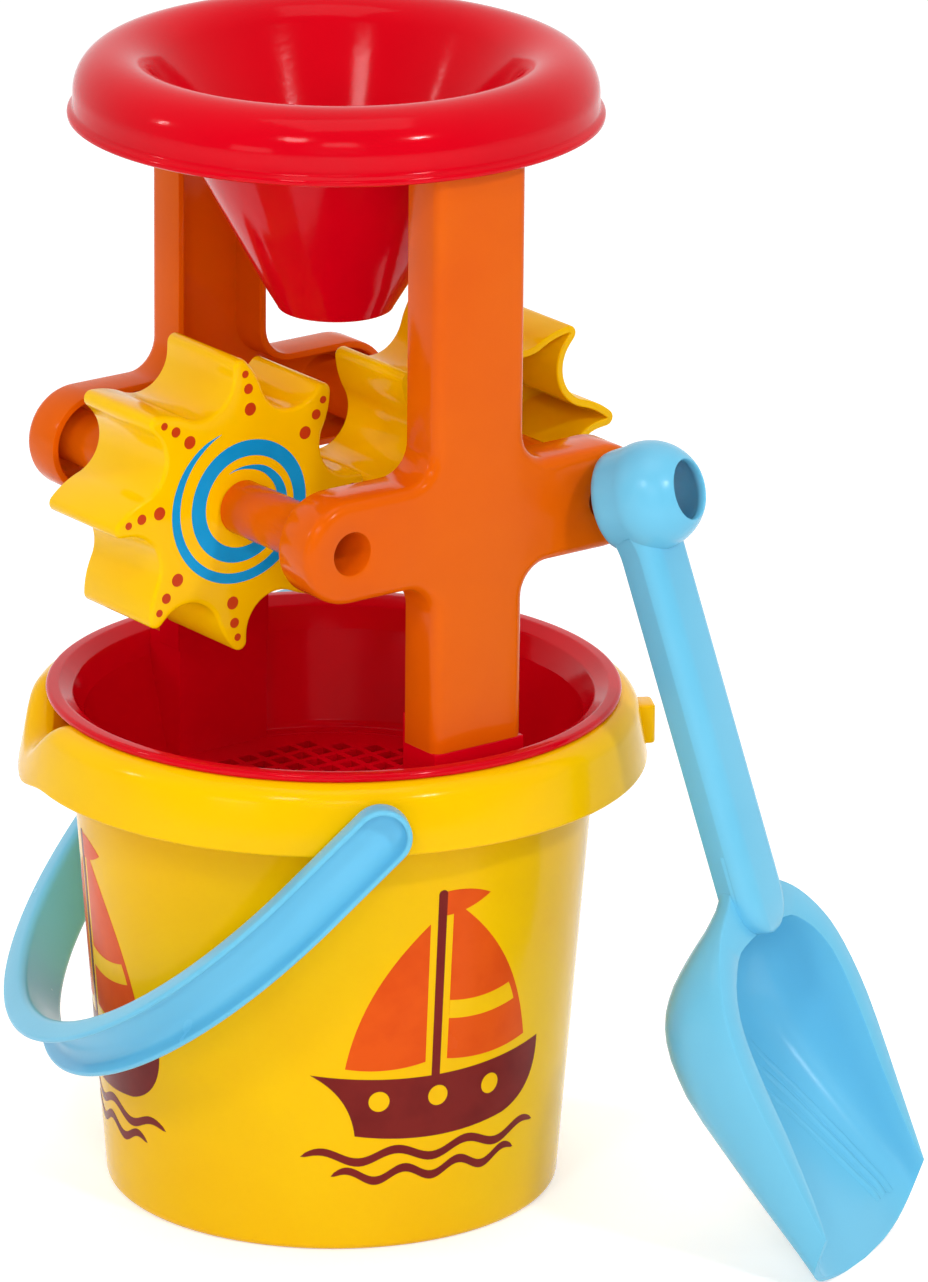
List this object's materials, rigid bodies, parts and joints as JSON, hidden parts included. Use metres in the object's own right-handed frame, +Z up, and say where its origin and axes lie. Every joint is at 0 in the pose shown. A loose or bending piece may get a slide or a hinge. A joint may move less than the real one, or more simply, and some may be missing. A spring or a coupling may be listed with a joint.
{
  "type": "sand mill play set",
  "caption": "Sand mill toy: a handled bucket with a sieve tray, columns that carry bucket wheels under a funnel, and a shovel leaning on the side.",
  "frame": {"origin": "centre of the bucket's foot, on the ground", "axes": "+Z up, Y along the wheel axles with the shovel's side at -Y, X along the cross arms"},
  "size_m": [0.2139, 0.2678, 0.336],
  "materials": {
    "yellow": "gloss",
    "red": "gloss",
    "orange": "gloss",
    "light_blue": "satin"
  },
  "bodies": {
    "bucket": {"bucket": "yellow"},
    "handle": {"bucket_handle": "light_blue"},
    "mill": {"sieve_tray": "red", "sieve_plate": "red", "front_column": "orange", "rear_column": "orange"},
    "wheel_left": {"left_wheel": "yellow"},
    "wheel_right": {"right_wheel": "yellow"},
    "funnel": {"funnel": "red"},
    "shovel": {"shovel": "light_blue"}
  },
  "joints": [
    {"name": "handle_swing", "type": "hinge", "parent": "bucket", "child": "handle", "pos_m": [0, 0, 0.136], "axis": [0.4695, 0.8829, 0], "range_deg": [0, 76]},
    {"name": "mill_lift", "type": "slide", "parent": "bucket", "child": "mill", "axis": [0, 0, 1], "range_m": [0, 0.06]},
    {"name": "left_wheel_turn", "type": "hinge", "parent": "mill", "child": "wheel_left", "pos_m": [-0.0442, 0, 0.214], "axis": [0, 1, 0], "continuous": true},
    {"name": "right_wheel_turn", "type": "hinge", "parent": "mill", "child": "wheel_right", "pos_m": [0.0442, 0, 0.214], "axis": [0, 1, 0], "continuous": true},
    {"name": "funnel_lift", "type": "slide", "parent": "mill", "child": "funnel", "axis": [0, 0, 1], "range_m": [0, 0.04]},
    {"name": "shovel_lift", "type": "slide", "parent": "bucket", "child": "shovel", "axis": [0, 0, 1], "range_m": [0, 0.06]}
  ]
}
